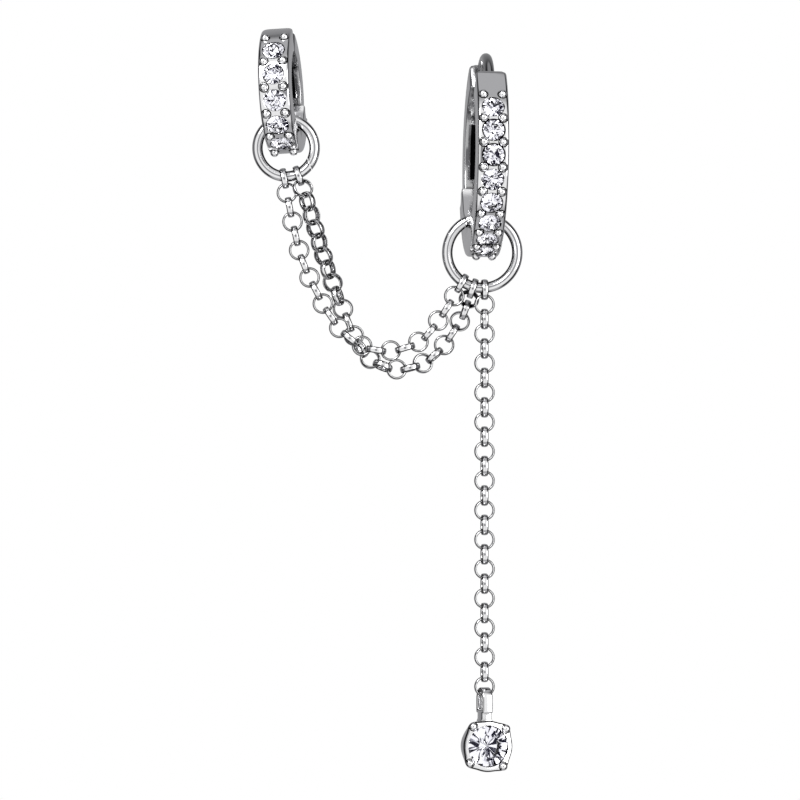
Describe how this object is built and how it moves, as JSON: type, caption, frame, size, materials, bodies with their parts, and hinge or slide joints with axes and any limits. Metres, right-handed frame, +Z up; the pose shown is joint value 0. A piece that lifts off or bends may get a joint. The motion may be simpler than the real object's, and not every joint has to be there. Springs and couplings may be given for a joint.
{
  "type": "ear chain earring",
  "caption": "Hinged lobe hoop and smaller hinged helix hoop, both set with round stones, joined by two draped chains, with a third chain and a round stone drop.",
  "frame": {"origin": "top of the lobe hoop's ear post, on the wire's centre line, where the earring hangs in the lobe", "axes": "+Z up, along the hanging drop chain; -Y towards the viewer, the side with the stones; +X to the viewer's right"},
  "size_m": [0.0205, 0.0157, 0.0564],
  "materials": {
    "polished_metal": "rhodium plate, polished",
    "crystal": "cut and polished"
  },
  "bodies": {
    "earring": {"large_hoop_front": "polished_metal", "large_hinge_pin": "polished_metal", "large_jump_ring": "polished_metal", "small_hoop_front": "polished_metal", "small_hinge_pin": "polished_metal", "small_jump_ring": "polished_metal", "upper_chain": "polished_metal", "lower_chain": "polished_metal", "drop_chain": "polished_metal", "large_stone_1": "crystal", "large_stone_2": "crystal", "large_stone_3": "crystal", "large_stone_4": "crystal", "large_stone_5": "crystal", "large_stone_6": "crystal", "large_stone_7": "crystal", "large_stone_8": "crystal", "small_stone_1": "crystal", "small_stone_2": "crystal", "small_stone_3": "crystal", "small_stone_4": "crystal", "small_stone_5": "crystal"},
    "lobe_back": {"large_hoop_back": "polished_metal"},
    "helix_back": {"small_hoop_back": "polished_metal"},
    "drop": {"drop_setting": "polished_metal", "drop_stone": "crystal"}
  },
  "joints": [
    {"name": "lobe_hinge", "type": "hinge", "parent": "earring", "child": "lobe_back", "pos_m": [-0.00073, 0.00634, -0.0104], "axis": [-0.9962, -0.0854, 0.0175], "range_deg": [0, 45]},
    {"name": "helix_hinge", "type": "hinge", "parent": "earring", "child": "helix_back", "pos_m": [-0.01478, 0.00386, -0.00389], "axis": [-0.9898, 0.1303, -0.0576], "range_deg": [0, 45]},
    {"name": "drop_swing", "type": "hinge", "parent": "earring", "child": "drop", "pos_m": [-0.00009, 0, -0.0483], "axis": [1, 0, 0], "range_deg": [-60, 60]}
  ]
}
